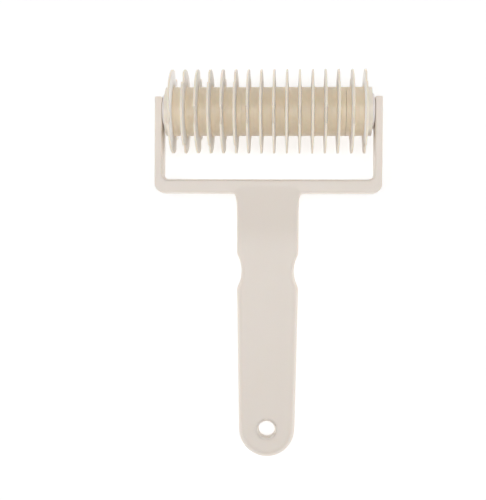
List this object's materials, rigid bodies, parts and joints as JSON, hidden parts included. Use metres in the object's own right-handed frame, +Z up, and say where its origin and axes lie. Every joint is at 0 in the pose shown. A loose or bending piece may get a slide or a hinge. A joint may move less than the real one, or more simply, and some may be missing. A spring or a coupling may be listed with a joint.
{
  "type": "lattice roller cutter",
  "caption": "Hand-held pastry lattice cutter: a roller of staggered, notched plastic wheels turning freely in a fork with a flat waisted handle and hanging hole.",
  "frame": {"origin": "middle of the tool's outline on the flat surface that it lies on", "axes": "+X along the roller's axis, +Y from the handle's end towards the roller, +Z up from the surface"},
  "size_m": [0.116, 0.1992, 0.043],
  "materials": {
    "fork_plastic": "satin moulded plastic, warm off-white",
    "wheel_plastic": "satin moulded plastic, warm off-white",
    "cap_plastic": "satin moulded plastic, warm off-white",
    "shaft_plastic": "satin moulded plastic, warm off-white"
  },
  "bodies": {
    "fork": {"fork_handle": "fork_plastic"},
    "roller": {"roller_shaft": "shaft_plastic", "left_end_cap": "cap_plastic", "right_end_cap": "cap_plastic", "cutter_wheel_01": "wheel_plastic", "cutter_wheel_02": "wheel_plastic", "cutter_wheel_03": "wheel_plastic", "cutter_wheel_04": "wheel_plastic", "cutter_wheel_05": "wheel_plastic", "cutter_wheel_06": "wheel_plastic", "cutter_wheel_07": "wheel_plastic", "cutter_wheel_08": "wheel_plastic", "cutter_wheel_09": "wheel_plastic", "cutter_wheel_10": "wheel_plastic", "cutter_wheel_11": "wheel_plastic", "cutter_wheel_12": "wheel_plastic", "cutter_wheel_13": "wheel_plastic", "cutter_wheel_14": "wheel_plastic", "cutter_wheel_15": "wheel_plastic", "cutter_wheel_16": "wheel_plastic"}
  },
  "joints": [
    {"name": "roller_spin", "type": "hinge", "parent": "fork", "child": "roller", "pos_m": [0, 0.07811, 0.02149], "axis": [1, 0, 0], "continuous": true}
  ]
}
